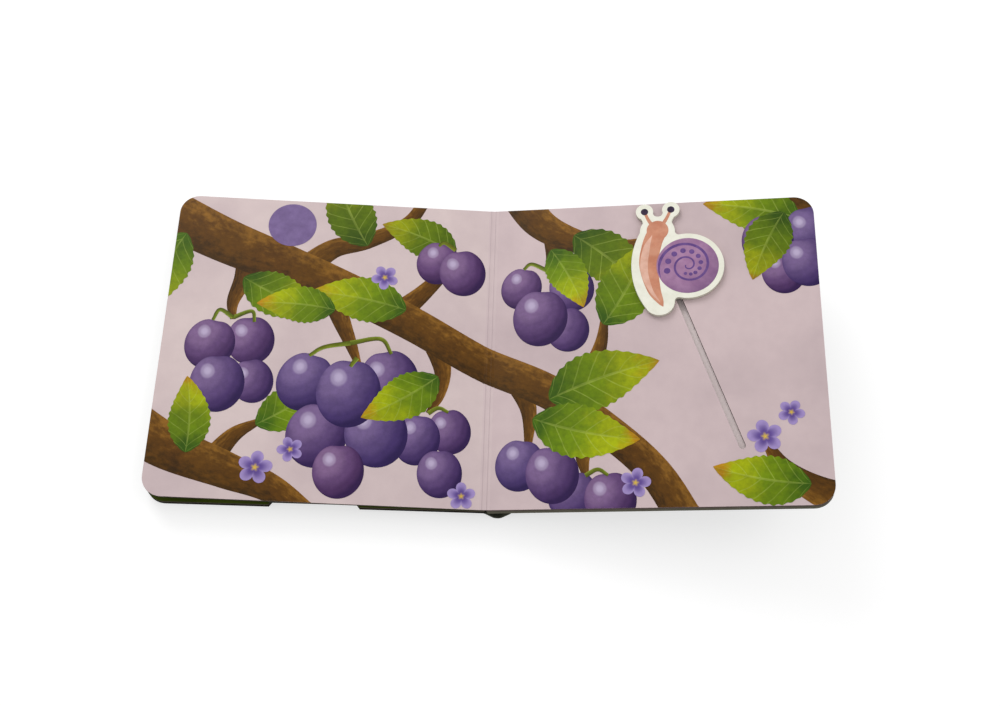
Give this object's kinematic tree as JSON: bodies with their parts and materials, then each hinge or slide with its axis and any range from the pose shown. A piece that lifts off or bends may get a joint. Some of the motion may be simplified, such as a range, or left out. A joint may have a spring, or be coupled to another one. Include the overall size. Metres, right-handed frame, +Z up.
{
  "type": "childrens book",
  "caption": "Square board book lying open at a spread, with rounded corners and a die-cut snail that slides along a slot in the page.",
  "frame": {"origin": "middle of the open book's box, at the level it rests on", "axes": "+X across the spread towards the slider page, +Y towards the head of the book, +Z up"},
  "size_m": [0.3278, 0.165, 0.0465],
  "materials": {
    "cover_board": "matt laminated greyboard",
    "page_board": "satin printed board",
    "channel_board": "bare greyboard",
    "spine_cover": "matt laminated paper",
    "slider_plastic": "plain moulded",
    "figure_card": "satin printed card"
  },
  "bodies": {
    "front_half": {"front_cover": "cover_board", "left_pages": "page_board"},
    "spine": {"spine": "spine_cover"},
    "back_half": {"back_cover": "cover_board", "slide_channel": "channel_board", "right_page": "page_board"},
    "slider": {"slider_foot": "slider_plastic", "snail_figure": "figure_card"}
  },
  "joints": [
    {"name": "book_close", "type": "hinge", "parent": "front_half", "child": "back_half", "pos_m": [0.00121, 0, 0.01298], "axis": [0, -1, 0], "range_deg": [0, 165]},
    {"name": "spine_turn", "type": "hinge", "parent": "front_half", "child": "spine", "pos_m": [0.00176, 0, 0.00698], "axis": [0, -1, 0], "range_deg": [0, 75.9]},
    {"name": "figure_slide", "type": "slide", "parent": "back_half", "child": "slider", "axis": [0.3236, -0.9438, 0.0676], "range_m": [0, 0.1044]}
  ],
  "couplings": [
    {"joint": "spine_turn", "follows": "book_close", "ratio": 0.46}
  ]
}
